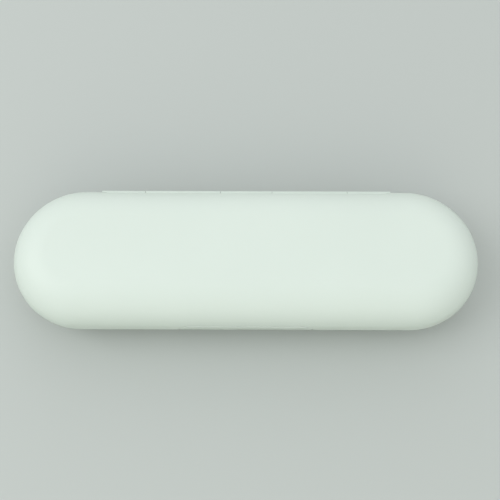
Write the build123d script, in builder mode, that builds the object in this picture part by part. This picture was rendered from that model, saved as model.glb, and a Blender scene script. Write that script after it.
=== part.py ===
from build123d import *
from math import asin, cos, degrees, radians, sin, sqrt
import os

os.makedirs("parts", exist_ok=True)

# Travel case for an electric toothbrush: a pill-shaped clamshell.
# Millimetres. +X along the case, -Y the front with the latch, +Y the back with the hinge, +Z up.
# The origin is the centre of the flat underside.

# ---------------------------------------------------------------- overall form
LENGTH = 228.0                # along X
WIDTH = 69.4                  # along Y, without the hinge barrel
HEIGHT = 38.0                 # along Z, closed
WALL = 2.0                    # shell wall

SECTION_R = HEIGHT / 2        # the sides and ends are full round
CORE_HALF = WIDTH / 2 - SECTION_R    # half width of the flat top and underside
ARC_X = LENGTH / 2 - WIDTH / 2       # centre of each round end, seen from above
SEAM_Z = HEIGHT / 2

# ---------------------------------------------------------------- rim
RIM_GAP = 0.15                # between the closed rims
RIM_EASE = 0.25               # bevel on each outer rim edge
TONGUE_THICK = 0.8
TONGUE_INSET = 0.15           # from the wall's inner face
TONGUE_HEIGHT = 1.8           # above the seam
TONGUE_SIDE_GAP = 0.2
TONGUE_TOP_GAP = 0.3
TONGUE_ROOT = 1.0             # depth that the tongue starts below the seam
TONGUE_SWEEP = 150.0          # degrees that it runs round each end, from the front

RIM_Z = SEAM_Z - RIM_GAP / 2
INNER_R = SECTION_R - WALL
TONGUE_U = CORE_HALF + INNER_R + TONGUE_INSET

# ---------------------------------------------------------------- hinge
HINGE_IN = 5.8                # from each end of the straight back to the barrel
PIN_R = 0.75
KNUCKLE_R = 2.0
HINGE_OUT = 0.2               # distance of the axis outside the back of the case
END_KNUCKLE = 22.0
MIDDLE_KNUCKLE = 26.0
KNUCKLE_GAP = 0.2             # between neighbouring knuckles, along X
KNUCKLE_RELIEF = 0.3          # round the other half's knuckles
PIN_FIT = 0.01                # radial, in the base's knuckles
PIN_RUNNING_FIT = 0.05        # radial, in the lid's knuckles
PIN_SETBACK = 0.4             # from each end of the barrel
HINGE_PAD = 1.3               # extra wall inside, behind the barrel
HINGE_PAD_SIDE = 1.25         # that it runs past the barrel, along X
HINGE_PAD_ANGLE = 28.0        # degrees down from the seam
LAND_DEPTH = 0.5              # of the flat land beside the barrel, at its middle
LAND_ANGLE = 24.0             # degrees between the seam and the land's normal
LAND_IN = 1.0                 # from each end of the barrel to the land
LAND_RUNOUT = 3.0             # radius at which the land runs out, at each end

HINGE_Y = WIDTH / 2 + HINGE_OUT
HINGE_HALF = ARC_X - HINGE_IN
HINGE_LENGTH = 2 * HINGE_HALF
LID_KNUCKLE = (HINGE_LENGTH - 2 * END_KNUCKLE - MIDDLE_KNUCKLE - 4 * KNUCKLE_GAP) / 2

# ---------------------------------------------------------------- front latch
CLIP_TOP_WIDTH = 56.8
CLIP_WIDTH = 64.0             # at the seam and below
CLIP_RISE = 3.6               # of its top ledge above the seam
CLIP_THICK = 1.2
CLIP_GAP = 0.3                # round its outline
CLIP_BACK_GAP = 0.3           # behind its plate
CLIP_CORNER = 1.5
CLIP_EASE = 0.3               # rounding of its outer edges
CLIP_PIVOT_ANGLE = 26.0       # degrees of the pivot below the seam
CLIP_OPENING = 70.0           # degrees that it swings out
BEAD_R = 1.3                  # rounded lower edge, about the pivot
BEAD_GAP = 0.2
TRUNNION_R = 0.8
TRUNNION_LENGTH = 1.6
TRUNNION_FIT = 0.05
LATCH_PAD = 1.8               # extra wall inside, behind the clip
LATCH_PAD_SIDE = 3.5          # that it runs past the clip, along X
LATCH_PAD_ANGLE_BASE = 36.0
LATCH_PAD_ANGLE_LID = 24.0
DETENT_RISE = 1.9             # of the detent ridge above the seam
DETENT_R = 0.5
DETENT_PROUD = 0.25
DETENT_LENGTH = 40.0
DETENT_GROOVE_R = 0.6
DETENT_GROOVE_DEPTH = 0.3
DETENT_GROOVE_EXTRA = 1.0     # that the groove is longer, at each end

PIVOT_R = SECTION_R - BEAD_R
PIVOT_U = CORE_HALF + PIVOT_R * cos(radians(CLIP_PIVOT_ANGLE))
PIVOT_Z = SEAM_Z - PIVOT_R * sin(radians(CLIP_PIVOT_ANGLE))
CLIP_INNER_U = WIDTH / 2 - CLIP_THICK
POCKET_U = CLIP_INNER_U - CLIP_BACK_GAP
LATCH_PAD_HALF = CLIP_WIDTH / 2 + LATCH_PAD_SIDE

# ---------------------------------------------------------------- inner trays
TRAY_WALL = 1.5
DECK_DROP = 2.0               # of the deck below the seam
DECK_GAP = 0.4                # between the deck's edge and the shell
PAD_GAP = 0.2                 # between the deck's edge and the inner pads
SEAT_GAP = 0.3                # between a tray and what carries it
BACK_SHARE = 0.55             # of the free deck that lies behind the handle bay; the rest is in front
WEB = 2.3                     # between the handle bay and the head bays
FOOT_END = 17.0               # from the case's left end to the handle bay
NECK_END = 22.0               # from the case's right end to the handle bay
NECK_R = 11.0                 # of the handle bay's narrow end
NECK_LENGTH = 24.0
SHOULDER_LENGTH = 55.0        # over which the handle bay tapers
FOOT_CORNER = 5.0             # of the handle bay's ends
HEAD_CORNER = 3.5             # of the head bays' ends
SHOULDER_ROUND = 40.0
HEAD_BAY_SPLIT = 7.0          # between the two head bays
HEAD_END = 29.0               # from each end of the case to a head bay
BAY_FLOOR_GAP = 2.3           # between a head bay and the shell's floor
BASE_BAY_DROP = 2.0           # of the head bays' centre line below the deck
LID_BAY_LIFT = 3.5            # of the lid bays' centre line past the lid's deck
MOUTH_EASE = 0.5

DECK_Z = SEAM_Z - DECK_DROP
DECK_HALF = CORE_HALF + sqrt(INNER_R**2 - (DECK_DROP + TRAY_WALL) ** 2) - DECK_GAP
TROUGH_R = SEAM_Z - WALL - SEAT_GAP - TRAY_WALL
BAY_R = DECK_Z - BASE_BAY_DROP - TRAY_WALL - BAY_FLOOR_GAP - WALL
FREE_DECK = 2 * (DECK_HALF - TROUGH_R - BAY_R) - WEB
TROUGH_Y = DECK_HALF - BACK_SHARE * FREE_DECK - TROUGH_R
TROUGH_START = -LENGTH / 2 + FOOT_END
TROUGH_END = LENGTH / 2 - NECK_END
BAY_Y = TROUGH_Y - TROUGH_R - WEB - BAY_R
HEAD_BAY_LENGTH = LENGTH / 2 - HEAD_END - HEAD_BAY_SPLIT / 2
HEAD_BAY_X = (HEAD_BAY_SPLIT + HEAD_BAY_LENGTH) / 2

# ---------------------------------------------------------------- tray supports in the shells
LUG_WIDTH = 8.0
LUG_HEIGHT = 4.0
LUG_REACH = 1.5               # under the deck's edge
LUG_ROOT = 0.5                # into the wall
LUG_ANGLES = (-60, 0, 60)     # round each end
SNAP_R = 0.8
SNAP_LENGTH = 10.0
SNAP_END = 15.75              # from each end of the barrel to the outer back ridge
SNAP_BACK_X = 20.0            # of the inner back ridges
SNAP_FRONT_X = 22.0

SNAP_BACK = (SNAP_END - HINGE_HALF, -SNAP_BACK_X, SNAP_BACK_X, HINGE_HALF - SNAP_END)
SNAP_FRONT = (-SNAP_FRONT_X, SNAP_FRONT_X)

# ---------------------------------------------------------------- soft inserts
INSERT_GAP = 0.1              # between an insert and its tray
SADDLE_THICK = 1.9
SADDLE_LENGTH = 14.0
SADDLE_HALF_ANGLE = 62.0
PAD_HALF_ANGLE = 38.0
GROOVE_WIDTH = 1.8
GROOVE_DEPTH = 0.7
GROOVE_PITCH = 4.4
FOOT_SADDLE_IN = 16.0         # from the handle bay's left end
NECK_SADDLE_IN = 13.5         # from its right end
CRADLE_LENGTH = 9.0
CRADLE_DROP = 1.2             # of its top below the deck
CRADLE_X = 22.0               # from the case's middle
STEM_R = 3.3
STEM_MOUTH = 5.4
STEM_LEAD = 1.2
KEY_LENGTH = 6.0
KEY_WIDTH = 4.0
HEAD_PAD_LENGTH = 30.0
HEAD_PAD_THICK = 2.0


def section_angle(radius, z):
    """Degrees below the seam of the point at height z on the rounded side."""
    return degrees(asin((SEAM_Z - z) / radius))


def section_u(radius, z):
    """Distance from the middle of the case to the rounded side at height z."""
    return CORE_HALF + sqrt(radius**2 - (SEAM_Z - z) ** 2)


def point_about(u, z, radius, angle):
    """A point at this radius and angle about (u, z)."""
    return (u + radius * cos(radians(angle)), z + radius * sin(radians(angle)))


def back_plane(x):
    """Section plane at x whose first axis points to the back. It extrudes along +X."""
    return Plane(origin=(x, 0, 0), x_dir=(0, 1, 0), z_dir=(1, 0, 0))


def front_plane(x):
    """Section plane at x whose first axis points to the front. It extrudes along -X."""
    return Plane(origin=(x, 0, 0), x_dir=(0, -1, 0), z_dir=(-1, 0, 0))


def ring_sector(u, z, outer_r, inner_r, start, end):
    """A face between two arcs about (u, z), from one angle to the other."""
    with BuildSketch(mode=Mode.PRIVATE) as sector:
        with BuildLine():
            CenterArc((u, z), outer_r, start, end - start)
            CenterArc((u, z), inner_r, start, end - start)
            Line(point_about(u, z, inner_r, start), point_about(u, z, outer_r, start))
            Line(point_about(u, z, inner_r, end), point_about(u, z, outer_r, end))
        make_face()
    return sector.sketch


# ---------------------------------------------------------------- shells
def wall_profile():
    """Half of a shell's section, from the middle out to the rim."""
    ease_z = RIM_Z - RIM_EASE
    outer_sweep = 90 - section_angle(SECTION_R, ease_z)
    inner_sweep = 90 - section_angle(INNER_R, RIM_Z)
    with BuildSketch(mode=Mode.PRIVATE) as profile:
        with BuildLine():
            Polyline((CORE_HALF, 0), (0, 0), (0, WALL), (CORE_HALF, WALL))
            CenterArc((CORE_HALF, SEAM_Z), INNER_R, -90, inner_sweep)
            Polyline(
                (section_u(INNER_R, RIM_Z), RIM_Z),
                (section_u(SECTION_R, ease_z) - RIM_EASE, RIM_Z),
                (section_u(SECTION_R, ease_z), ease_z),
            )
            CenterArc((CORE_HALF, SEAM_Z), SECTION_R, -90, outer_sweep)
        make_face()
    return profile.sketch


def hinge_pad_profile():
    """Section of the extra wall behind the hinge barrel."""
    return ring_sector(
        CORE_HALF, SEAM_Z, INNER_R + WALL / 2, INNER_R - HINGE_PAD, -HINGE_PAD_ANGLE, 0
    )


def latch_pad_profile(angle):
    """Section of the extra wall behind the latch."""
    return ring_sector(CORE_HALF, SEAM_Z, INNER_R + WALL / 4, INNER_R - LATCH_PAD, -angle, 0)


def half_shell(latch_pad_angle):
    """One half of the case, rim up: wall, inner pads, deck lugs and snap ridges."""
    wall = wall_profile()
    hinge_pad = hinge_pad_profile()
    latch_pad = latch_pad_profile(latch_pad_angle)
    lug_top = DECK_Z - TRAY_WALL - SEAT_GAP
    lug_inner = DECK_HALF - LUG_REACH
    lug_depth = section_u(INNER_R, lug_top) + LUG_ROOT - lug_inner
    snap_z = DECK_Z + PAD_GAP / 2 + SNAP_R
    back_snap_u = section_u(INNER_R - HINGE_PAD, snap_z)
    front_snap_u = section_u(INNER_R - LATCH_PAD, snap_z)
    with BuildPart() as half:
        with BuildSketch(back_plane(-ARC_X)):
            add(wall)
            mirror(about=Plane.YZ)
        extrude(amount=2 * ARC_X)
        for side in (-1, 1):
            with BuildSketch(back_plane(side * ARC_X)):
                add(wall)
            revolve(axis=Axis((side * ARC_X, 0, 0), (0, 0, -side)), revolution_arc=180)

        with BuildSketch(back_plane(-HINGE_HALF - HINGE_PAD_SIDE)):
            add(hinge_pad)
        extrude(amount=2 * (HINGE_HALF + HINGE_PAD_SIDE))
        with BuildSketch(front_plane(LATCH_PAD_HALF)):
            add(latch_pad)
        extrude(amount=2 * LATCH_PAD_HALF)
        split(bisect_by=Plane.XY.offset(RIM_Z), keep=Keep.BOTTOM)

        # Lugs under the deck's edge, round the ends.
        for side in (-1, 1):
            for angle in LUG_ANGLES:
                turn = angle if side > 0 else 180 - angle
                with BuildSketch(Plane.XY.offset(lug_top)):
                    with Locations(Location((side * ARC_X, 0, 0), (0, 0, turn))):
                        with Locations((lug_inner + lug_depth / 2, 0)):
                            Rectangle(lug_depth, LUG_WIDTH)
                extrude(amount=-LUG_HEIGHT)

        # Snap ridges over the deck's edge, on the pads.
        for x in SNAP_BACK:
            with BuildSketch(back_plane(x - SNAP_LENGTH / 2)):
                with Locations((back_snap_u, snap_z)):
                    Circle(SNAP_R)
            extrude(amount=SNAP_LENGTH)
        for x in SNAP_FRONT:
            with BuildSketch(front_plane(x + SNAP_LENGTH / 2)):
                with Locations((front_snap_u, snap_z)):
                    Circle(SNAP_R)
            extrude(amount=SNAP_LENGTH)
    return half.part


def rim_band(u_start, u_end, z_start, z_end, latch_half, sweep):
    """A band along the rim: round the front and both ends, open at the latch and the hinge."""
    with BuildSketch(mode=Mode.PRIVATE) as profile:
        with Locations(((u_start + u_end) / 2, (z_start + z_end) / 2)):
            Rectangle(u_end - u_start, z_end - z_start)
    with BuildPart() as band:
        for side in (-1, 1):
            with BuildSketch(front_plane(side * ARC_X)):
                add(profile.sketch)
            extrude(amount=side * (ARC_X - latch_half))
            with BuildSketch(front_plane(side * ARC_X)):
                add(profile.sketch)
            revolve(axis=Axis((side * ARC_X, 0, 0), (0, 0, side)), revolution_arc=sweep)
    return band.part


def hinge_land(above):
    """The flat land along the barrel, cut into the base's back, or into the lid's above the seam."""
    sign = 1 if above else -1
    half = HINGE_HALF - LAND_IN
    reach = 2 * LAND_RUNOUT
    middle = point_about(
        CORE_HALF, SEAM_Z, SECTION_R - LAND_DEPTH + reach / 2, sign * LAND_ANGLE
    )
    with BuildPart() as land:
        with BuildSketch(back_plane(-half)):
            with Locations(middle):
                Rectangle(reach, SECTION_R, rotation=sign * LAND_ANGLE)
        extrude(amount=2 * half)
        for end in land.faces().filter_by(Axis.X):
            middle_of_case = (end.center().X, 0, SEAM_Z)
            fillet(end.edges().sort_by_distance(middle_of_case)[0], LAND_RUNOUT)
    return land.part


def knuckle_spans():
    """Start and end of each knuckle along X. Every other one, from the first, is the base's."""
    spans = []
    x = -HINGE_HALF
    for length in (END_KNUCKLE, LID_KNUCKLE, MIDDLE_KNUCKLE, LID_KNUCKLE, END_KNUCKLE):
        spans.append((x, x + length))
        x += length + KNUCKLE_GAP
    return spans


def hinge_rod(start, end, radius):
    """A cylinder about the hinge axis."""
    with BuildPart() as rod:
        with BuildSketch(back_plane(start)):
            with Locations((HINGE_Y, SEAM_Z)):
                Circle(radius)
        extrude(amount=end - start)
    return rod.part


BASE_KNUCKLES = knuckle_spans()[0::2]
LID_KNUCKLES = knuckle_spans()[1::2]


# ---------------------------------------------------------------- latch outline
def clip_outline(grow):
    """The clip seen from the front: straight sides up to the seam, slanted above it."""
    foot_z = PIVOT_Z - 3 * BEAD_R
    top_z = SEAM_Z + CLIP_RISE
    half = CLIP_WIDTH / 2
    top_half = CLIP_TOP_WIDTH / 2
    with BuildSketch(mode=Mode.PRIVATE) as outline:
        with BuildLine():
            FilletPolyline(
                (half, foot_z),
                (half, SEAM_Z),
                (top_half, top_z),
                (-top_half, top_z),
                (-half, SEAM_Z),
                (-half, foot_z),
                radius=CLIP_CORNER,
                close=True,
            )
        make_face()
        if grow > 0:
            offset(amount=grow)
    return outline.sketch


def clip_pocket():
    """What the base's front wall leaves open for the clip, its rounded edge and its swing."""
    low = -CLIP_PIVOT_ANGLE - CLIP_OPENING
    groove_r = BEAD_R + BEAD_GAP
    pivot = (PIVOT_U, PIVOT_Z)
    reach = 2 * SECTION_R - PIVOT_R
    floor_start = point_about(PIVOT_U, PIVOT_Z, groove_r, low)
    floor_end = point_about(*floor_start, reach, low + 90)
    swing_top = point_about(PIVOT_U, PIVOT_Z, reach, 90 - CLIP_PIVOT_ANGLE)
    half = CLIP_WIDTH / 2 + CLIP_GAP
    plate_space = ring_sector(
        CORE_HALF,
        SEAM_Z,
        SECTION_R + WALL,
        SECTION_R - CLIP_THICK - CLIP_BACK_GAP,
        -CLIP_PIVOT_ANGLE,
        CLIP_PIVOT_ANGLE,
    )
    with BuildPart() as pocket:
        with BuildSketch(front_plane(half)):
            add(plate_space)
            with Locations(pivot):
                Circle(groove_r)
            with BuildLine():
                Polyline(pivot, floor_start, floor_end, swing_top, close=True)
            make_face()
        extrude(amount=2 * half)
    return pocket.part


def pivot_rod(half_length, radius):
    """A cylinder about the latch's pivot, along X through the middle."""
    with BuildPart() as rod:
        with BuildSketch(front_plane(half_length)):
            with Locations((PIVOT_U, PIVOT_Z)):
                Circle(radius)
        extrude(amount=2 * half_length)
    return rod.part


def front_ridge(u, z, radius, length):
    """A round ridge or groove along X on the front."""
    with BuildPart() as ridge:
        with BuildSketch(front_plane(length / 2)):
            with Locations((u, z)):
                Circle(radius)
        extrude(amount=length)
    return ridge.part


# ---------------------------------------------------------------- inner tray
def trough_profile(grow):
    """Half outline of the handle bay: round foot, straight body, tapered shoulder, narrow neck."""
    start = TROUGH_START - grow
    end = TROUGH_END + grow
    neck_x = TROUGH_END - NECK_LENGTH
    with BuildSketch(mode=Mode.PRIVATE) as profile:
        with BuildLine():
            FilletPolyline(
                (start, TROUGH_Y),
                (start, TROUGH_Y + TROUGH_R + grow),
                (neck_x - SHOULDER_LENGTH, TROUGH_Y + TROUGH_R + grow),
                (neck_x, TROUGH_Y + NECK_R + grow),
                (end, TROUGH_Y + NECK_R + grow),
                (end, TROUGH_Y),
                radius=[FOOT_CORNER + grow, SHOULDER_ROUND, SHOULDER_ROUND, FOOT_CORNER + grow],
            )
            Line((end, TROUGH_Y), (start, TROUGH_Y))
        make_face()
    return profile.sketch


def handle_bay(grow):
    """The handle's space, or with grow the outside of the moulding round it."""
    profile = trough_profile(grow)
    with BuildPart() as bay:
        with BuildSketch(Plane.XY.offset(SEAM_Z)):
            add(profile)
        revolve(axis=Axis((0, TROUGH_Y, SEAM_Z), (1, 0, 0)))
    return bay.part


def head_bay(side, centre_z, grow):
    """A brush head's space: half round below its centre line, straight above it, with rounded ends."""
    half = HEAD_BAY_LENGTH / 2 + grow
    radius = BAY_R + grow
    with BuildPart() as bay:
        with BuildSketch(back_plane(side * HEAD_BAY_X - half)):
            with Locations((BAY_Y, centre_z)):
                Circle(radius)
            with Locations((BAY_Y, centre_z + SEAM_Z / 2)):
                Rectangle(2 * radius, SEAM_Z)
        extrude(amount=2 * half)
        for end in bay.faces().filter_by(Axis.X):
            fillet(end.edges().sort_by(Axis.Z)[:-1], HEAD_CORNER + grow)
    return bay.part


def deck_outline():
    """The deck seen from above: the case's outline, stepped in at the hinge and latch pads."""
    back_edge = section_u(INNER_R - HINGE_PAD, DECK_Z - TRAY_WALL) - PAD_GAP
    front_edge = section_u(INNER_R - LATCH_PAD, DECK_Z - TRAY_WALL) - PAD_GAP
    step = DECK_HALF
    with BuildSketch(mode=Mode.PRIVATE) as outline:
        SlotOverall(2 * (ARC_X + DECK_HALF), 2 * DECK_HALF)
        with Locations((0, back_edge + step / 2)):
            Rectangle(2 * (HINGE_HALF + HINGE_PAD_SIDE + DECK_GAP), step, mode=Mode.SUBTRACT)
        with Locations((0, -front_edge - step / 2)):
            Rectangle(2 * (LATCH_PAD_HALF + DECK_GAP), step, mode=Mode.SUBTRACT)
    return outline.sketch


def key_slots(places):
    """Holes for the inserts' keys."""
    with BuildPart() as slots:
        with BuildSketch(Plane.XY):
            with Locations(*places):
                Rectangle(KEY_LENGTH + 2 * INSERT_GAP, KEY_WIDTH + 2 * INSERT_GAP)
        extrude(amount=DECK_Z)
    return slots.part


def moulded_tray(bay_z, key_places):
    """A thin moulding, open side up: deck, handle bay, two head bays and key holes."""
    outline = deck_outline()
    outer = [handle_bay(TRAY_WALL)]
    inner = [handle_bay(0)]
    for side in (-1, 1):
        outer.append(head_bay(side, bay_z, TRAY_WALL))
        inner.append(head_bay(side, bay_z, 0))
    slots = key_slots(key_places)
    with BuildPart() as tray:
        with BuildSketch(Plane.XY.offset(DECK_Z - TRAY_WALL)):
            add(outline)
        extrude(amount=TRAY_WALL)
        for form in outer:
            add(form)
        split(bisect_by=Plane.XY.offset(DECK_Z), keep=Keep.BOTTOM)
        for form in inner:
            add(form, mode=Mode.SUBTRACT)
        add(slots, mode=Mode.SUBTRACT)
        deck = tray.faces().filter_by(Axis.Z).sort_by(Axis.Z)[-1]
        mouths = deck.inner_wires().edges()
        fillet(mouths, MOUTH_EASE)
    return tray.part


# ---------------------------------------------------------------- soft inserts
def saddle(x, bay_radius, half_angle):
    """A grooved soft ring sector on the floor of the handle bay, with a key through the floor."""
    outer_r = bay_radius - INSERT_GAP
    inner_r = outer_r - SADDLE_THICK
    blank = ring_sector(TROUGH_Y, SEAM_Z, outer_r, inner_r, -90 - half_angle, -90 + half_angle)
    key_top = SEAM_Z - outer_r + SADDLE_THICK / 2
    key_foot = SEAM_Z - bay_radius - TRAY_WALL
    with BuildPart() as insert:
        with BuildSketch(back_plane(x - SADDLE_LENGTH / 2)):
            add(blank)
        extrude(amount=SADDLE_LENGTH)
        for place in (-1, 0, 1):
            with BuildSketch(back_plane(x + place * GROOVE_PITCH - GROOVE_WIDTH / 2)):
                with Locations((TROUGH_Y, SEAM_Z)):
                    Circle(inner_r + GROOVE_DEPTH)
            extrude(amount=GROOVE_WIDTH, mode=Mode.SUBTRACT)
        with BuildSketch(Plane.XY.offset(key_foot)):
            with Locations((x, TROUGH_Y)):
                Rectangle(KEY_LENGTH, KEY_WIDTH)
        extrude(amount=key_top - key_foot)
    return insert.part


def cradle(x):
    """A soft block across a head bay that grips the brush head's stem."""
    centre_z = DECK_Z - BASE_BAY_DROP
    outer_r = BAY_R - INSERT_GAP
    top_z = DECK_Z - CRADLE_DROP
    stem_z = centre_z - BASE_BAY_DROP
    key_foot = centre_z - BAY_R - TRAY_WALL
    with BuildPart() as insert:
        with BuildSketch(back_plane(x - CRADLE_LENGTH / 2)):
            with Locations((BAY_Y, centre_z)):
                Circle(outer_r)
            with Locations((BAY_Y, centre_z + outer_r)):
                Rectangle(2 * outer_r, 2 * outer_r)
            with Locations((BAY_Y, top_z + SEAM_Z)):
                Rectangle(4 * outer_r, 2 * SEAM_Z, mode=Mode.SUBTRACT)
            with Locations((BAY_Y, stem_z)):
                Circle(STEM_R, mode=Mode.SUBTRACT)
            with Locations((BAY_Y, stem_z + SEAM_Z / 2)):
                Rectangle(STEM_MOUTH, SEAM_Z, mode=Mode.SUBTRACT)
            with BuildLine():
                Polyline(
                    (BAY_Y - STEM_MOUTH / 2 - STEM_LEAD, top_z),
                    (BAY_Y, top_z - STEM_MOUTH / 2 - STEM_LEAD),
                    (BAY_Y + STEM_MOUTH / 2 + STEM_LEAD, top_z),
                    close=True,
                )
            make_face(mode=Mode.SUBTRACT)
        extrude(amount=CRADLE_LENGTH)
        with BuildSketch(Plane.XY.offset(key_foot)):
            with Locations((x, BAY_Y)):
                Rectangle(KEY_LENGTH, KEY_WIDTH)
        extrude(amount=TRAY_WALL + STEM_LEAD)
    return insert.part


def head_pad(x):
    """A soft strip on the floor of a lid bay."""
    centre_z = DECK_Z + LID_BAY_LIFT
    outer_r = BAY_R - INSERT_GAP
    top_z = centre_z - outer_r + HEAD_PAD_THICK
    key_foot = centre_z - BAY_R - TRAY_WALL
    with BuildPart() as insert:
        with BuildSketch(back_plane(x - HEAD_PAD_LENGTH / 2)):
            with Locations((BAY_Y, centre_z)):
                Circle(outer_r)
            with Locations((BAY_Y, top_z + SEAM_Z)):
                Rectangle(4 * outer_r, 2 * SEAM_Z, mode=Mode.SUBTRACT)
        extrude(amount=HEAD_PAD_LENGTH)
        with BuildSketch(Plane.XY.offset(key_foot)):
            with Locations((x, BAY_Y)):
                Rectangle(KEY_LENGTH, KEY_WIDTH)
        extrude(amount=TRAY_WALL + HEAD_PAD_THICK / 2)
    return insert.part


def finish(piece, name):
    """Name a finished piece and write it."""
    piece.label = name
    export_step(piece, f"parts/{name}.step")


LID_MIRROR = Plane.XY.offset(SEAM_Z)
FOOT_X = TROUGH_START + FOOT_SADDLE_IN
NECK_X = TROUGH_END - NECK_SADDLE_IN
HANDLE_KEYS = [(FOOT_X, TROUGH_Y), (NECK_X, TROUGH_Y)]

# ---------------------------------------------------------------- base
tongue = rim_band(
    TONGUE_U,
    TONGUE_U + TONGUE_THICK,
    SEAM_Z - TONGUE_ROOT,
    SEAM_Z + TONGUE_HEIGHT,
    LATCH_PAD_HALF + TONGUE_SIDE_GAP,
    TONGUE_SWEEP,
)

with BuildPart() as base_shell:
    add(half_shell(LATCH_PAD_ANGLE_BASE))
    add(hinge_land(above=False), mode=Mode.SUBTRACT)
    for start, end in LID_KNUCKLES:
        relief = hinge_rod(start - KNUCKLE_GAP, end + KNUCKLE_GAP, KNUCKLE_R + KNUCKLE_RELIEF)
        add(relief, mode=Mode.SUBTRACT)
    for start, end in BASE_KNUCKLES:
        add(hinge_rod(start, end, KNUCKLE_R))
    add(hinge_rod(-HINGE_HALF, HINGE_HALF, PIN_R + PIN_FIT), mode=Mode.SUBTRACT)
    add(clip_pocket(), mode=Mode.SUBTRACT)
    trunnion_reach = CLIP_WIDTH / 2 + TRUNNION_LENGTH + CLIP_GAP
    add(pivot_rod(trunnion_reach, TRUNNION_R + TRUNNION_FIT), mode=Mode.SUBTRACT)
    add(tongue)
finish(base_shell.part, "base_shell")

with BuildPart() as hinge_pin:
    add(hinge_rod(-HINGE_HALF + PIN_SETBACK, HINGE_HALF - PIN_SETBACK, PIN_R))
finish(hinge_pin.part, "hinge_pin")

with BuildPart() as base_tray:
    add(
        moulded_tray(
            DECK_Z - BASE_BAY_DROP,
            HANDLE_KEYS + [(-CRADLE_X, BAY_Y), (CRADLE_X, BAY_Y)],
        )
    )
finish(base_tray.part, "base_tray")

with BuildPart() as foot_saddle:
    add(saddle(FOOT_X, TROUGH_R, SADDLE_HALF_ANGLE))
finish(foot_saddle.part, "foot_saddle")

with BuildPart() as neck_saddle:
    add(saddle(NECK_X, NECK_R, SADDLE_HALF_ANGLE))
finish(neck_saddle.part, "neck_saddle")

for side, name in ((-1, "left"), (1, "right")):
    with BuildPart() as head_cradle:
        add(cradle(side * CRADLE_X))
    finish(head_cradle.part, f"head_cradle_{name}")

# ---------------------------------------------------------------- latch
with BuildPart() as front_latch:
    with BuildSketch(front_plane(CLIP_WIDTH / 2)):
        add(ring_sector(CORE_HALF, SEAM_Z, SECTION_R, SECTION_R - CLIP_THICK, -CLIP_PIVOT_ANGLE, 0))
        with Locations((CLIP_INNER_U + CLIP_THICK / 2, SEAM_Z + CLIP_RISE / 2)):
            Rectangle(CLIP_THICK, CLIP_RISE)
    extrude(amount=CLIP_WIDTH)
    with BuildSketch(Plane.XZ):
        add(clip_outline(0))
    extrude(amount=WIDTH, mode=Mode.INTERSECT)
    front_face = front_latch.faces().filter_by(Axis.Y).sort_by(Axis.Y)[0]
    fillet(front_face.edges().sort_by(Axis.Z)[-1], CLIP_EASE)
    add(pivot_rod(CLIP_WIDTH / 2, BEAD_R))
    groove_u = CLIP_INNER_U + DETENT_GROOVE_DEPTH - DETENT_GROOVE_R
    groove_length = DETENT_LENGTH + 2 * DETENT_GROOVE_EXTRA
    add(
        front_ridge(groove_u, SEAM_Z + DETENT_RISE, DETENT_GROOVE_R, groove_length),
        mode=Mode.SUBTRACT,
    )
    add(pivot_rod(CLIP_WIDTH / 2 + TRUNNION_LENGTH, TRUNNION_R))
finish(front_latch.part, "front_latch")

# ---------------------------------------------------------------- lid
rebate = rim_band(
    TONGUE_U - WALL / 2,
    TONGUE_U + TONGUE_THICK + TONGUE_SIDE_GAP,
    SEAM_Z - TONGUE_ROOT,
    SEAM_Z + TONGUE_HEIGHT + TONGUE_TOP_GAP,
    LATCH_PAD_HALF,
    TONGUE_SWEEP + 1,
)

with BuildPart() as lid_shell:
    add(mirror(half_shell(LATCH_PAD_ANGLE_LID), about=LID_MIRROR, mode=Mode.PRIVATE))
    add(hinge_land(above=True), mode=Mode.SUBTRACT)
    for start, end in BASE_KNUCKLES:
        relief = hinge_rod(start - KNUCKLE_GAP, end + KNUCKLE_GAP, KNUCKLE_R + KNUCKLE_RELIEF)
        add(relief, mode=Mode.SUBTRACT)
    for start, end in LID_KNUCKLES:
        add(hinge_rod(start, end, KNUCKLE_R))
    add(hinge_rod(-HINGE_HALF, HINGE_HALF, PIN_R + PIN_RUNNING_FIT), mode=Mode.SUBTRACT)
    add(rebate, mode=Mode.SUBTRACT)
    with BuildSketch(Plane.XZ.offset(POCKET_U)):
        add(clip_outline(CLIP_GAP))
    extrude(amount=WALL, mode=Mode.SUBTRACT)
    ridge_u = POCKET_U + DETENT_PROUD - DETENT_R
    add(front_ridge(ridge_u, SEAM_Z + DETENT_RISE, DETENT_R, DETENT_LENGTH))
finish(lid_shell.part, "lid_shell")

with BuildPart() as lid_liner:
    liner_keys = HANDLE_KEYS + [(-HEAD_BAY_X, BAY_Y), (HEAD_BAY_X, BAY_Y)]
    liner = moulded_tray(DECK_Z + LID_BAY_LIFT, liner_keys)
    add(mirror(liner, about=LID_MIRROR, mode=Mode.PRIVATE))
finish(lid_liner.part, "lid_liner")

with BuildPart() as lid_foot_pad:
    add(mirror(saddle(FOOT_X, TROUGH_R, PAD_HALF_ANGLE), about=LID_MIRROR, mode=Mode.PRIVATE))
finish(lid_foot_pad.part, "lid_foot_pad")

with BuildPart() as lid_neck_pad:
    add(mirror(saddle(NECK_X, NECK_R, PAD_HALF_ANGLE), about=LID_MIRROR, mode=Mode.PRIVATE))
finish(lid_neck_pad.part, "lid_neck_pad")

for side, name in ((-1, "left"), (1, "right")):
    with BuildPart() as lid_head_pad:
        add(mirror(head_pad(side * HEAD_BAY_X), about=LID_MIRROR, mode=Mode.PRIVATE))
    finish(lid_head_pad.part, f"lid_head_pad_{name}")
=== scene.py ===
from math import acos, asin, atan2, cos, pi, radians, sin, sqrt, tan

import bmesh
import bpy
from mathutils import Matrix, Vector


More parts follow.
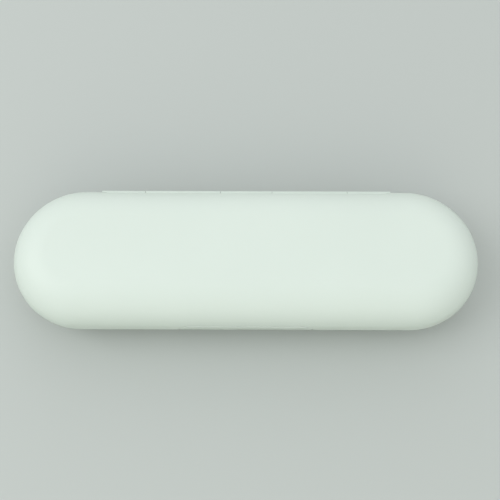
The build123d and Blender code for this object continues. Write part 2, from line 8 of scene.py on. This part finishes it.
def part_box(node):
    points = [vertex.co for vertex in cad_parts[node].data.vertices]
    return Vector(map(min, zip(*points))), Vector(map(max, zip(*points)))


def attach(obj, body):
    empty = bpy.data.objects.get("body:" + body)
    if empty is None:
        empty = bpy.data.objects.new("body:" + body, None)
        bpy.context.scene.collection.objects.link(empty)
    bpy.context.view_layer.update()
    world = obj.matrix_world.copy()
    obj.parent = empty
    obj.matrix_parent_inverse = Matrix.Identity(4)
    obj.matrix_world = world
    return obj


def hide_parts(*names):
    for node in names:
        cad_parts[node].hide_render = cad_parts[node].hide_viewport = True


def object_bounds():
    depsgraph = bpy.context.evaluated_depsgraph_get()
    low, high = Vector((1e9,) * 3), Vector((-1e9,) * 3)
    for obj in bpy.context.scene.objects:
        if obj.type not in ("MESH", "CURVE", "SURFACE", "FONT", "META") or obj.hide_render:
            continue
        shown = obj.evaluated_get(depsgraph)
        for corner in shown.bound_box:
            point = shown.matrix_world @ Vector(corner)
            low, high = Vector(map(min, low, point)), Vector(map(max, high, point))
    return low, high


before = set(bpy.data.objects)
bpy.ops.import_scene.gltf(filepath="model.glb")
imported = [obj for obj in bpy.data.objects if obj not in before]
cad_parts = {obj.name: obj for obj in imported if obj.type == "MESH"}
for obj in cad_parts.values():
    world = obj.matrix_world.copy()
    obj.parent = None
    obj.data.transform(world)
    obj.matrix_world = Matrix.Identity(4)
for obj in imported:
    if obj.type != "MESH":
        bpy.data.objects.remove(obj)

# Travel case for an electric toothbrush, a white clamshell. Metres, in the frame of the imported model:
# +X along the case, -Y the front with the clip, +Y the back with the hinge, +Z up, the rest face at z = 0.
cad_low, cad_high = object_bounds()
SEAM_Z = (cad_low.z + cad_high.z) / 2
MM = 0.001

# ---------------------------------------------------------------- camera
LENS = 50.16                  # on the sensor below, both in millimetres
SENSOR_WIDTH = 36.0
TILT = radians(18.620)        # of the view away from straight down
ROLL = radians(0.178)         # about the line of sight
DISTANCE = 0.3472
TARGET = Vector((0.00200, 0.00526, SEAM_Z))
NEAREST_SEEN = 0.01           # from the camera

# ---------------------------------------------------------------- colours, as sRGB
SHELL_WHITE = (0.874, 0.920, 0.886)
TRAY_WHITE = (0.877, 0.910, 0.889)
SOFT_GREY = (0.690, 0.715, 0.700)
STEEL = (0.72, 0.72, 0.71)
GAP_PAINTED_SHADE = (0.50, 0.53, 0.50)       # painted shade, laid into the colour of the narrow gaps between the shells, the clip and the knuckles
FLOOR_PALE = (0.765, 0.790, 0.775)
FLOOR_FAR = (0.706, 0.729, 0.715)     # how that floor looks far from the lamps
FLOOR_BOUNCE = (0.16, 0.26, 0.16)     # what the object gets back from the floor

# ---------------------------------------------------------------- patterns
# Waves per metre: one number for all axes, or one for each of X, Y and Z.
SHELL_CLOUDS = 22.0
SHELL_PATCHES = 60.0
SHELL_GRAIN = 3200.0
SHELL_SCUFFS = (90.0, 900.0, 900.0)
TRAY_FLOW = (25.0, 140.0, 140.0)
TRAY_RIPPLE = 420.0
RUBBER_PATCHES = 180.0
RUBBER_SPECKLE = 1500.0
RUBBER_GRAIN = 2400.0
STEEL_LINES = (60.0, 9000.0, 9000.0)
# Painted shade: the colour darkens in narrow gaps, by ambient occlusion within this reach.
PAINTED_SHADE_REACH = 0.9 * MM
PAINTED_SHADE_FADE = (0.12, 0.52)     # how open a gap is where the painted shade is full, and where there is none
PAINTED_SHADE_SAMPLES = 12
EDGE_SAMPLES = 6              # for the edges that a bump rounds
PLASTIC_IOR = 1.49

# ---------------------------------------------------------------- stage
FLOOR_HALF = 12.0
FLOOR_DROP = 0.05 * MM        # of the floor below the rest face
HORIZON_LIGHT = (1.18, 1.18, 1.16, 1.0)     # linear: what lights the object from all round, at the sides
ZENITH_LIGHT = (0.63, 0.64, 0.66, 1.0)      # and from straight above
LAMP_SIZE = 1.0
LAMPS = {                     # place, power in watts, colour
    "front": ((0.0, -1.2, 0.6), 1.6, (1.0, 1.0, 0.7)),
    "left": ((-1.0, 0.0, 1.0), 4.6, (1.0, 1.0, 1.0)),
    "back": ((0.0, 1.2, 0.6), 1.0, (1.0, 1.0, 1.0)),
}

# ---------------------------------------------------------------- soft inserts
EDGE_R = 0.55 * MM            # rounding of a soft insert's long edges
EDGE_PER_THICK = 1 / 2.2      # the most that it may be, as a share of the insert's thickness
END_R = 0.4 * MM              # rounding of its end edges
CORNER_MARGIN = 1.5           # corner radii that a curved side keeps clear of its ends
GROOVE_WIDTH = 1.8 * MM
GROOVE_DEPTH = 0.6 * MM
GROOVE_PITCH = 4.4 * MM
GROOVES = (-1, 0, 1)          # their places, in pitches from the middle
KEY_HALF = (3.0 * MM, 2.0 * MM)
KEY_CLEAR = 0.1 * MM          # beyond the key, where an insert's own section is measured
KEY_SINK = 1.0 * MM           # of the key into its insert
STEM_R = 3.3 * MM             # of the cradle's seat for a brush head's stem
STEM_DROP = 2.0 * MM          # of the seat's centre below the bay's centre line
LIP_TURN = radians(12)        # of the seat left to the rounding of its lips
LIP_EDGE = 0.42 * MM          # that rounding, and the rounding of the mouth above
MOUTH_HALF = 3.9 * MM         # half the width over the seat, at the cradle's top
CRADLE_SECTIONS = (-2.0 * MM, 2.0 * MM)     # between its ends, from the middle
RIB_PITCH = 3.0 * MM          # of the cross ribs on a head pad
RIB_DEPTH = 0.35 * MM
RIB_GAP = 1.8 * MM
RIB_REACH = 0.8               # of the ribs to each side, as a share of the pad's half width
PAD_EDGE = 0.12 * MM          # rounding of a head pad's thin long edges
PAD_END = 0.08 * MM           # rounding of its end edges
PAD_UNDER = 0.82              # share of its underside that is drawn as an arc

# ---------------------------------------------------------------- fineness
ARC_STEP = 1.0 * MM
LEAST_ARC_STEPS = 6
EDGE_STEPS = 5
GROOVE_STEPS = 7              # from a groove's middle to its side
RIB_GAP_STEPS = 4
SHARP_ANGLE = radians(40)


# ---------------------------------------------------------------- nodes
def linear(colour):
    """An sRGB colour as linear RGBA."""
    def one(v):
        return v / 12.92 if v <= 0.04045 else ((v + 0.055) / 1.055) ** 2.4
    return (*(one(v) for v in colour), 1.0)


def feed(tree, value, socket):
    """Gives a socket a constant, or links it to the socket that the value is."""
    if isinstance(value, bpy.types.NodeSocket):
        tree.links.new(value, socket)
    else:
        socket.default_value = value


def add_node(tree, kind, **settings):
    """A new node of that kind, with its settings."""
    node = tree.nodes.new(kind)
    for key, value in settings.items():
        setattr(node, key, value)
    return node


def maths(tree, operation, first, second, clamp=False):
    """The result of an operation on two numbers or sockets."""
    node = add_node(tree, "ShaderNodeMath", operation=operation, use_clamp=clamp)
    feed(tree, first, node.inputs[0])
    feed(tree, second, node.inputs[1])
    return node.outputs["Value"]


def mixed(tree, low, high, factor):
    """A colour from low, at factor 0, to high, at factor 1."""
    node = add_node(tree, "ShaderNodeMix", data_type="RGBA")
    feed(tree, low, node.inputs["A"])
    feed(tree, high, node.inputs["B"])
    feed(tree, factor, node.inputs["Factor"])
    return node.outputs["Result"]


# ---------------------------------------------------------------- materials
class Finish:
    """A node material in the making. Its patterns lie over a plain colour and a plain roughness."""

    def __init__(self, name, colour, roughness):
        self.material = bpy.data.materials.new(name)
        self.material.use_nodes = True
        self.tree = self.material.node_tree
        self.shader = self.tree.nodes["Principled BSDF"]
        self.colour = colour
        self.shade("Base Color", linear(colour))
        self.shade("Roughness", roughness)
        self.place = self.add("ShaderNodeTexCoord").outputs["Object"]

    def add(self, kind, **settings):
        return add_node(self.tree, kind, **settings)

    def feed(self, value, socket):
        feed(self.tree, value, socket)

    def shade(self, name, value):
        """Gives a socket of the shader a constant or a pattern."""
        self.feed(value, self.shader.inputs[name])

    def noise(self, waves, detail=2.0, roughness=0.5):
        """Noise with so many waves per metre, on all axes or on each."""
        even = isinstance(waves, float)
        node = self.add("ShaderNodeTexNoise")
        node.inputs["Scale"].default_value = waves if even else 1.0
        node.inputs["Detail"].default_value = detail
        node.inputs["Roughness"].default_value = roughness
        self.feed(self.place if even else self.stretched(waves), node.inputs["Vector"])
        return node.outputs["Fac"]

    def stretched(self, scale):
        """The place, scaled along each axis."""
        mapping = self.add("ShaderNodeMapping")
        mapping.inputs["Scale"].default_value = scale
        self.feed(self.place, mapping.inputs["Vector"])
        return mapping.outputs["Vector"]

    def spread(self, value, to, source=(0.0, 1.0)):
        """The value mapped from its source range to another, smoothly and clamped."""
        node = self.add("ShaderNodeMapRange", interpolation_type="SMOOTHSTEP")
        node.inputs["From Min"].default_value, node.inputs["From Max"].default_value = source
        node.inputs["To Min"].default_value, node.inputs["To Max"].default_value = to
        self.feed(value, node.inputs["Value"])
        return node.outputs["Result"]

    def shades(self, factor, darkest, palest):
        """The plain colour, from darkest times as bright at factor 0 to palest times at factor 1."""
        low, high = (linear([min(1.0, v * amount) for v in self.colour]) for amount in (darkest, palest))
        return mixed(self.tree, low, high, factor)

    def with_painted_shade(self, colour):
        """The colour, darkened to painted shade in the narrow gaps, as ambient occlusion finds them."""
        # painted shade: how open the surface is sets how far its colour goes to the dark gap colour
        light = self.add("ShaderNodeAmbientOcclusion", samples=PAINTED_SHADE_SAMPLES)
        light.inputs["Distance"].default_value = PAINTED_SHADE_REACH
        unshaded = self.spread(light.outputs["AO"], to=(0.0, 1.0), source=PAINTED_SHADE_FADE)
        return mixed(self.tree, linear(GAP_PAINTED_SHADE), colour, unshaded)

    def bump(self, height, distance, strength, edge_radius=0.0):
        """Surface relief, over edges rounded by edge_radius where that is given."""
        node = self.add("ShaderNodeBump")
        node.inputs["Distance"].default_value = distance
        node.inputs["Strength"].default_value = strength
        self.feed(height, node.inputs["Height"])
        if edge_radius:
            bevel = self.add("ShaderNodeBevel", samples=EDGE_SAMPLES)
            bevel.inputs["Radius"].default_value = edge_radius
            self.feed(bevel.outputs["Normal"], node.inputs["Normal"])
        self.shade("Normal", node.outputs["Normal"])


def shell_plastic():
    """Matte moulded plastic: a fine eroded grain, faint cloudiness, a few hairline scuffs and painted shade
    in its narrow gaps.
    """
    f = Finish("shell_plastic", SHELL_WHITE, roughness=0.42)
    clouds = f.noise(SHELL_CLOUDS, detail=3.0)
    # painted shade: the base colour darkens in the narrow gaps
    f.shade("Base Color", f.with_painted_shade(f.shades(clouds, darkest=0.988, palest=1.010)))
    scuffs = f.noise(SHELL_SCUFFS, detail=5.0, roughness=0.65)
    worn = f.spread(scuffs, to=(0.0, 0.10), source=(0.60, 0.78))
    patches = f.spread(f.noise(SHELL_PATCHES, detail=4.0), to=(0.37, 0.47))
    f.shade("Roughness", maths(f.tree, "SUBTRACT", patches, worn))
    grain = f.noise(SHELL_GRAIN, detail=3.0, roughness=0.6)
    f.bump(grain, distance=0.012 * MM, strength=0.8, edge_radius=0.16 * MM)
    f.shade("IOR", PLASTIC_IOR)
    f.shade("Specular IOR Level", 0.25)
    f.shade("Subsurface Weight", 0.06)
    f.shade("Subsurface Radius", (1.0, 1.0, 0.9))
    f.shade("Subsurface Scale", 1.2 * MM)
    return f.material


def tray_plastic():
    """Satin moulded plastic with faint flow lines along the tray."""
    f = Finish("tray_plastic", TRAY_WHITE, roughness=0.3)
    flow = f.noise(TRAY_FLOW, detail=4.0, roughness=0.55)
    f.shade("Base Color", f.shades(flow, darkest=0.985, palest=1.010))
    f.shade("Roughness", f.spread(flow, to=(0.26, 0.38)))
    f.bump(f.noise(TRAY_RIPPLE), distance=0.02 * MM, strength=0.35, edge_radius=0.25 * MM)
    f.shade("IOR", PLASTIC_IOR)
    return f.material


def soft_rubber():
    """Thermoplastic rubber: fine speckle, dull sheen and a dry, slightly uneven surface."""
    f = Finish("soft_rubber", SOFT_GREY, roughness=0.62)
    speckle = f.noise(RUBBER_SPECKLE, detail=4.0, roughness=0.7)
    f.shade("Base Color", f.shades(speckle, darkest=0.95, palest=1.04))
    f.shade("Roughness", f.spread(f.noise(RUBBER_PATCHES, detail=3.0), to=(0.54, 0.72)))
    f.bump(f.noise(RUBBER_GRAIN, detail=3.0, roughness=0.65), distance=0.03 * MM, strength=0.7)
    f.shade("Sheen Weight", 0.12)
    f.shade("Subsurface Weight", 0.10)
    f.shade("Subsurface Scale", 1.0 * MM)
    return f.material


def drawn_steel():
    """Drawn steel wire with fine lines along its length."""
    f = Finish("drawn_steel", STEEL, roughness=0.3)
    lines = f.noise(STEEL_LINES, detail=3.0, roughness=0.6)
    f.shade("Base Color", f.shades(lines, darkest=0.86, palest=1.05))
    f.shade("Roughness", f.spread(lines, to=(0.22, 0.42)))
    f.bump(lines, distance=0.01 * MM, strength=0.6)
    f.shade("Metallic", 1.0)
    return f.material


# ---------------------------------------------------------------- meshes
def new_piece(name, mesh_maker, material):
    """A smooth-shaded object from a function that fills a bmesh."""
    bm = bmesh.new()
    mesh_maker(bm)
    bmesh.ops.recalc_face_normals(bm, faces=bm.faces)
    mesh = bpy.data.meshes.new(name)
    bm.to_mesh(mesh)
    bm.free()
    mesh.shade_smooth()
    mesh.materials.append(material)
    piece = bpy.data.objects.new(name, mesh)
    bpy.context.scene.collection.objects.link(piece)
    return piece


def arc(centre, radius, start, end, steps):
    """Points on an arc about a centre (y, z), both ends included. Angles in radians."""
    cy, cz = centre
    angles = [start + (end - start) * i / steps for i in range(steps + 1)]
    return [Vector((cy + radius * cos(a), cz + radius * sin(a))) for a in angles]


def arc_steps(radius, angle):
    """How many steps of about ARC_STEP an arc takes."""
    return max(LEAST_ARC_STEPS, round(radius * angle / ARC_STEP))


def rounded(corners):
    """An outline through (point, radius) corners: an arc for each, or the bare point at radius 0."""
    outline = []
    count = len(corners)
    for i, (point, radius) in enumerate(corners):
        if radius <= 0:
            outline.append(point)
            continue
        before = (corners[i - 1][0] - point).normalized()
        after = (corners[(i + 1) % count][0] - point).normalized()
        half = acos(max(-1.0, min(1.0, before.dot(after)))) / 2
        centre = point + (before + after).normalized() * (radius / sin(half))
        start = point + before * (radius / tan(half)) - centre
        turn = pi - 2 * half
        cross = before.x * after.y - before.y * after.x
        way = -1.0 if cross > 0 else 1.0
        for k in range(EDGE_STEPS + 1):
            a = way * turn * k / EDGE_STEPS
            outline.append(centre + Matrix.Rotation(a, 2) @ start)
    return outline


def inset(outline, depth):
    """The outline drawn in by depth along its own normals. It runs counterclockwise."""
    if depth <= 0:
        return outline
    moved = []
    count = len(outline)
    for i, point in enumerate(outline):
        along = (outline[(i + 1) % count] - outline[i - 1]).normalized()
        moved.append(point + Vector((-along.y, along.x)) * depth)
    return moved


def counterclockwise(outline):
    """The outline, turned round if it runs clockwise."""
    area = sum(p.x * q.y - q.x * p.y for p, q in zip(outline, outline[1:] + outline[:1]))
    return outline if area > 0 else outline[::-1]


def loft(bm, stations):
    """A closed solid through sections (x, outline), all outlines with as many points."""
    rings = [[bm.verts.new((x, p.x, p.y)) for p in outline] for x, outline in stations]
    for ring, following in zip(rings, rings[1:]):
        for i, vert in enumerate(ring):
            bm.faces.new((ring[i - 1], vert, following[i], following[i - 1]))
    for ring in (rings[0], rings[-1]):
        bm.faces.new(ring)


def round_ended(x_low, x_high, inner_stations, outline_at, end_r):
    """Sections from x_low to x_high with rounded end edges. outline_at(x) gives each full outline."""
    steps = [pi / 2 * k / EDGE_STEPS for k in range(EDGE_STEPS + 1)]
    stations = [(x_low + end_r * (1 - cos(a)), end_r * (1 - sin(a))) for a in steps]
    stations += [(x, 0.0) for x in inner_stations]
    stations += [(x_high - end_r * (1 - cos(a)), end_r * (1 - sin(a))) for a in reversed(steps)]
    return [(x, inset(counterclockwise(outline_at(x)), depth)) for x, depth in stations]


def with_key(piece, x, y, z_low, z_high):
    """Joins to a soft insert the block that holds it in its tray."""
    half_x, half_y = KEY_HALF
    corners = ((-half_y, z_low), (half_y, z_low), (half_y, z_high), (-half_y, z_high))
    outline = [Vector((y + across, z)) for across, z in corners]

    def make(bm):
        loft(bm, [(x - half_x, outline), (x + half_x, outline)])

    key = new_piece("key", make, piece.data.materials[0])
    union = piece.modifiers.new("key", "BOOLEAN")
    union.operation = "UNION"
    union.solver = "EXACT"
    union.object = key
    bpy.context.view_layer.update()
    joined = bpy.data.meshes.new_from_object(piece.evaluated_get(bpy.context.evaluated_depsgraph_get()))
    piece.modifiers.clear()
    piece.data = joined
    piece.data.shade_smooth()
    piece.data.set_sharp_from_angle(angle=SHARP_ANGLE)
    bpy.data.objects.remove(key)


def off_key_points(node, x):
    """The node's vertices past its key, where only its own section is."""
    points = [v.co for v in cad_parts[node].data.vertices]
    return [p for p in points if abs(p.x - x) > KEY_HALF[0] + KEY_CLEAR]


class Insert:
    """The measures of a soft insert's CAD node: its ends, its middle, its section past the key.

    up is 1 in the base and -1 in the lid, where an insert hangs from its floor.
    """

    def __init__(self, node):
        self.node = node
        self.low, self.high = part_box(node)
        self.x = (self.low.x + self.high.x) / 2
        self.y = (self.low.y + self.high.y) / 2
        self.up = 1 if self.high.z < SEAM_Z else -1
        self.section = off_key_points(node, self.x)
        self.half_width = max(abs(p.y - self.y) for p in self.section)
        heights = [self.up * p.z for p in self.section]
        self.floor = self.up * min(heights)
        self.top = self.up * max(heights)

    def build(self, outline_at, stations, body, material, end_r=END_R):
        """The soft piece through its stations, with its key, in place of the node."""
        def make(bm):
            loft(bm, round_ended(self.low.x, self.high.x, stations, outline_at, end_r))

        piece = new_piece(f"{self.node}_soft", make, material)
        key_foot = self.low.z if self.up > 0 else self.high.z
        key_ends = sorted((key_foot, self.floor + self.up * KEY_SINK))
        with_key(piece, self.x, self.y, *key_ends)
        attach(piece, body)
        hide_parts(self.node)
        return piece


def dip(x, middle, half_width):
    """A rounded dip across an insert: 0 at its sides, 1 at its bottom."""
    away = abs(x - middle) / half_width
    return sqrt(1 - away**4) if away < 1 else 0.0


def dip_stations(middle, half_width, steps):
    """Places across a dip, closest together at its sides."""
    return [middle + half_width * sin(pi / 2 * k / steps) for k in range(-steps, steps + 1)]


def saddle(node, body, material):
    """A grooved ring sector that lies round the handle, in the base or upside down in the lid.

    Its outline is drawn about the handle's axis, with x towards the insert's floor and y across.
    """
    at = Insert(node)
    reach = [Vector((p.y - at.y, p.z - SEAM_Z)).length for p in at.section]
    outer_r, inner_r = max(reach), min(reach)
    spread = asin(at.half_width / outer_r)
    steps = arc_steps(inner_r, 2 * spread)
    middles = [at.x + place * GROOVE_PITCH for place in GROOVES]

    def side(radius, corner, way):
        """One face of the ring sector, ends rounded, from one side to the other or back."""
        margin = CORNER_MARGIN * corner / radius
        start, end = arc((0, 0), radius, -spread, spread, 1)
        between = arc((0, 0), radius, margin - spread, spread - margin, steps)
        return [(start, corner), *((p, 0) for p in between), (end, corner)][::way]

    def outline_at(x):
        bottom_r = inner_r + GROOVE_DEPTH * max(dip(x, m, GROOVE_WIDTH / 2) for m in middles)
        corner = min(EDGE_R, (outer_r - bottom_r) * EDGE_PER_THICK)
        corners = side(outer_r, corner, 1) + side(bottom_r, corner, -1)
        return [Vector((at.y + p.y, SEAM_Z - at.up * p.x)) for p in rounded(corners)]

    stations = [x for m in middles for x in dip_stations(m, GROOVE_WIDTH / 2, GROOVE_STEPS)]
    return at.build(outline_at, stations, body, material)


def cradle(node, body, material):
    """A soft block across a head bay, with a round seat for the stem.

    A slope on each side leads into the seat. lead is how far it runs inwards and down from the mouth
    to the seat's circle, and lip is the angle of that place on the circle.
    """
    at = Insert(node)
    radius = at.half_width
    centre_z = at.floor + radius
    seat_z = centre_z - STEM_DROP
    rise = at.top - seat_z
    both = MOUTH_HALF + rise
    lead = (both - sqrt(both**2 - 2 * (MOUTH_HALF**2 + rise**2 - STEM_R**2))) / 2
    lip = atan2(rise - lead, MOUTH_HALF - lead)
    seat_start, seat_end = lip - LIP_TURN, LIP_TURN - pi - lip
    outside = arc((at.y, centre_z), radius, -pi, 0, arc_steps(radius, pi))
    seat = arc((at.y, seat_z), STEM_R, seat_start, seat_end, 2 * arc_steps(STEM_R, pi))

    def right(y, z, corner):
        return (Vector((at.y + y, z)), corner)

    half_mouth = [
        right(radius, at.top, EDGE_R),
        right(MOUTH_HALF, at.top, LIP_EDGE),
        right(MOUTH_HALF - lead, at.top - lead, LIP_EDGE),
    ]
    other_half = [(Vector((2 * at.y - p.x, p.y)), r) for p, r in reversed(half_mouth)]
    corners = [(p, 0) for p in outside] + half_mouth + [(p, 0) for p in seat] + other_half
    outline = rounded(corners)
    return at.build(lambda x: outline, [at.x + place for place in CRADLE_SECTIONS], body, material)


def head_pad(node, body, material):
    """A soft strip with rounded cross ribs, on the floor of a lid bay.

    Its outline is drawn about the axis of that round floor, with x towards the floor and y across.
    """
    at = Insert(node)
    thick = abs(at.top - at.floor)
    radius = (at.half_width**2 + thick**2) / (2 * thick)
    centre_z = at.floor + at.up * radius
    spread = asin(at.half_width / radius)
    count = int((at.high.x - at.x - RIB_PITCH) / RIB_PITCH)
    middles = [at.x + i * RIB_PITCH for i in range(-count, count + 1)]
    start, end = arc((0, 0), radius, -spread, spread, 1)
    under_spread = PAD_UNDER * spread
    under = arc((0, 0), radius, -under_spread, under_spread, arc_steps(radius, 2 * spread))

    def outline_at(x):
        top = radius - thick + RIB_DEPTH * max(dip(x, m, RIB_GAP / 2) for m in middles)
        between = [(Vector((top, way * RIB_REACH * at.half_width)), 0) for way in (1, -1)]
        corners = [*((p, 0) for p in under), (end, PAD_EDGE), *between, (start, PAD_EDGE)]
        return [Vector((at.y + p.y, centre_z - at.up * p.x)) for p in rounded(corners)]

    stations = [x for m in middles for x in dip_stations(m, RIB_GAP / 2, RIB_GAP_STEPS)]
    return at.build(outline_at, stations, body, material, end_r=PAD_END)


# ---------------------------------------------------------------- pieces
FINISHES = {
    "shell": shell_plastic(),
    "tray": tray_plastic(),
    "soft": soft_rubber(),
    "pin": drawn_steel(),
}
NODE_FINISH = {               # the nodes that aren't named here are soft inserts
    "base_shell": "shell",
    "lid_shell": "shell",
    "front_latch": "shell",
    "base_tray": "tray",
    "lid_liner": "tray",
    "hinge_pin": "pin",
}
for name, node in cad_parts.items():
    node.data.materials.clear()
    node.data.materials.append(FINISHES[NODE_FINISH.get(name, "soft")])
for name in ("foot_saddle", "neck_saddle"):
    saddle(name, "base", FINISHES["soft"])
for name in ("head_cradle_left", "head_cradle_right"):
    cradle(name, "base", FINISHES["soft"])
for name in ("lid_foot_pad", "lid_neck_pad"):
    saddle(name, "lid", FINISHES["soft"])
for name in ("lid_head_pad_left", "lid_head_pad_right"):
    head_pad(name, "lid", FINISHES["soft"])


# ---------------------------------------------------------------- floor, world, lamps and camera
def pale_to_the_eye(tree, seen, unseen):
    """The seen colour for the camera, in gloss and through glass; the unseen one for light that bounces."""
    path = add_node(tree, "ShaderNodeLightPath").outputs
    either = maths(tree, "ADD", path["Is Camera Ray"], path["Is Glossy Ray"], clamp=True)
    any_of_three = maths(tree, "ADD", either, path["Is Transmission Ray"], clamp=True)
    return mixed(tree, unseen, seen, any_of_three)


def make_floor():
    """A plain pale floor just under the case, which sends less light back than it shows."""
    z = cad_low.z - FLOOR_DROP
    corners = [(x * FLOOR_HALF, y * FLOOR_HALF, z) for x, y in ((-1, -1), (1, -1), (1, 1), (-1, 1))]
    mesh = bpy.data.meshes.new("floor")
    mesh.from_pydata(corners, [], [(0, 1, 2, 3)])
    floor = bpy.data.objects.new("floor", mesh)
    bpy.context.scene.collection.objects.link(floor)
    paper = bpy.data.materials.new("floor_paper")
    paper.use_nodes = True
    tree = paper.node_tree
    shader = tree.nodes["Principled BSDF"]
    shader.inputs["Roughness"].default_value = 0.9
    shader.inputs["Specular IOR Level"].default_value = 0.1
    colour = pale_to_the_eye(tree, linear(FLOOR_PALE), linear(FLOOR_BOUNCE))
    feed(tree, colour, shader.inputs["Base Color"])
    mesh.materials.append(paper)


def make_world():
    """A tent that is brighter at the sides than above; the eye sees it as pale as the far floor."""
    world = bpy.data.worlds.new("studio")
    world.use_nodes = True
    tree = world.node_tree
    background = tree.nodes["Background"]
    background.inputs["Strength"].default_value = 1.0
    place = add_node(tree, "ShaderNodeTexCoord")
    axes = add_node(tree, "ShaderNodeSeparateXYZ")
    feed(tree, place.outputs["Generated"], axes.inputs["Vector"])
    tent = mixed(tree, HORIZON_LIGHT, ZENITH_LIGHT, axes.outputs["Z"])
    feed(tree, pale_to_the_eye(tree, linear(FLOOR_FAR), tent), background.inputs["Color"])
    bpy.context.scene.world = world


def area_light(name, place, power, colour):
    """A round soft box that looks at the middle of the case."""
    lamp = bpy.data.lights.new(name, "AREA")
    lamp.shape = "DISK"
    lamp.size = LAMP_SIZE
    lamp.energy = power
    lamp.color = colour
    light = bpy.data.objects.new(name, lamp)
    light.location = place
    toward = Vector((0, 0, SEAM_Z)) - Vector(place)
    light.rotation_mode = "QUATERNION"
    light.rotation_quaternion = toward.to_track_quat("-Z", "Y")
    bpy.context.scene.collection.objects.link(light)


def make_camera():
    """A camera that looks at the target from in front and above, as the photographer did."""
    data = bpy.data.cameras.new("camera")
    data.lens = LENS
    data.sensor_width = SENSOR_WIDTH
    data.clip_start = NEAREST_SEEN
    camera = bpy.data.objects.new("camera", data)
    camera.matrix_world = (
        Matrix.Translation(TARGET + Vector((0, -sin(TILT), cos(TILT))) * DISTANCE)
        @ Matrix.Rotation(TILT, 4, "X")
        @ Matrix.Rotation(ROLL, 4, "Z")
    )
    bpy.context.scene.collection.objects.link(camera)
    bpy.context.scene.camera = camera


make_floor()
make_world()
for name, (place, power, colour) in LAMPS.items():
    area_light(name, place, power, colour)
make_camera()
bpy.context.scene.view_settings.view_transform = "Standard"
